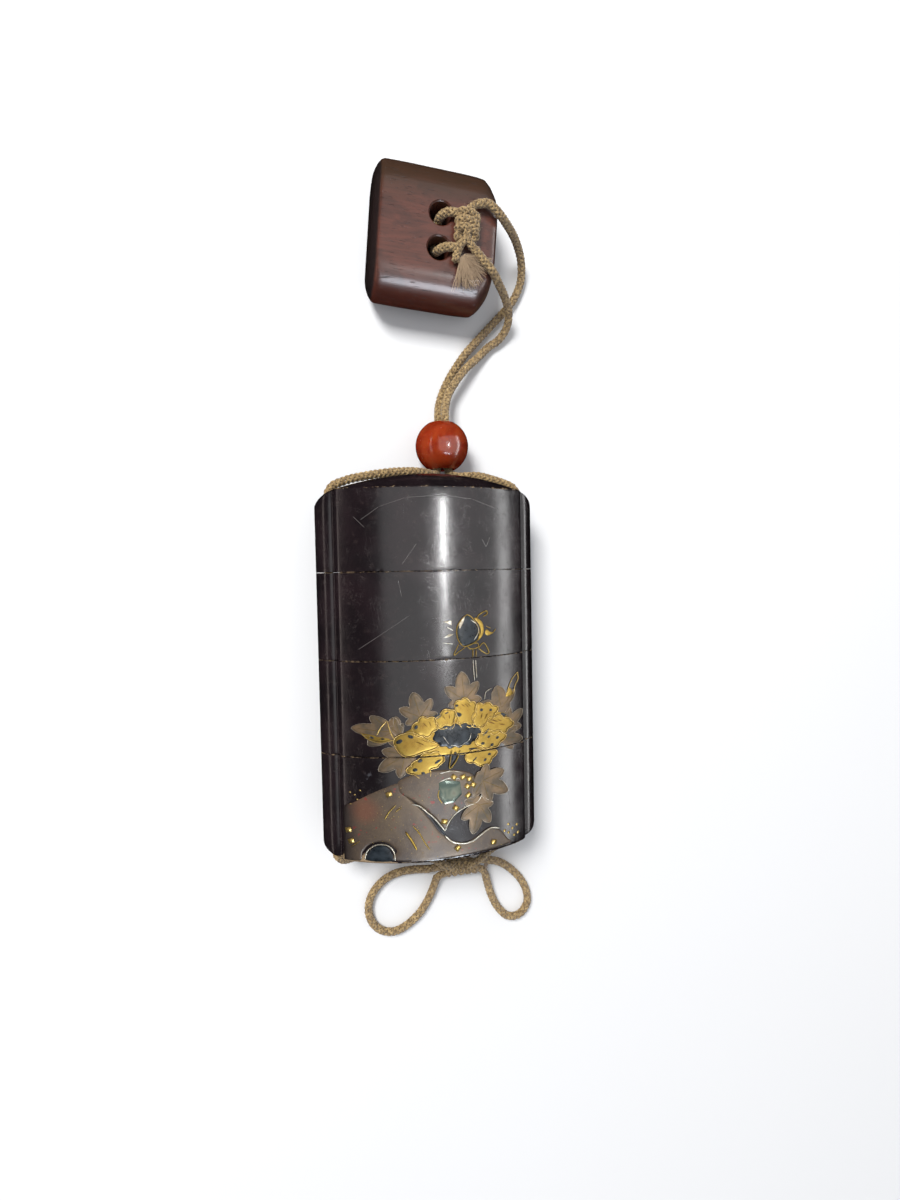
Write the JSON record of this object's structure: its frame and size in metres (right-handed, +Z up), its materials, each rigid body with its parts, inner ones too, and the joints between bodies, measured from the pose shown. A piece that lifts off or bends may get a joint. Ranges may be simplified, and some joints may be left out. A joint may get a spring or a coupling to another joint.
{
  "type": "inro case",
  "caption": "Small lacquered case of stacked hollow sections lying on its back, with cord runners at the sides, a sliding bead, a wooden toggle and a bow of cord.",
  "frame": {"origin": "on the floor, below the middle of the case, bead and toggle as they lie", "axes": "+Y along the case from its base to its lid and on to the toggle, +Z up out of the painted front, +X to the right of that front"},
  "size_m": [0.0533, 0.1826, 0.0225],
  "materials": {
    "lacquer": "gloss",
    "carnelian": "polished",
    "rosewood": "satin",
    "cord": "matte"
  },
  "bodies": {
    "root": {"lid": "lacquer", "upper_case": "lacquer", "middle_case": "lacquer", "base_case": "lacquer", "ojime_bead": "carnelian", "netsuke": "rosewood", "cord_left": "cord", "cord_right": "cord", "netsuke_loop": "cord", "netsuke_knot": "cord", "bottom_knot": "cord", "loop_left": "cord", "loop_right": "cord"}
  },
  "joints": []
}
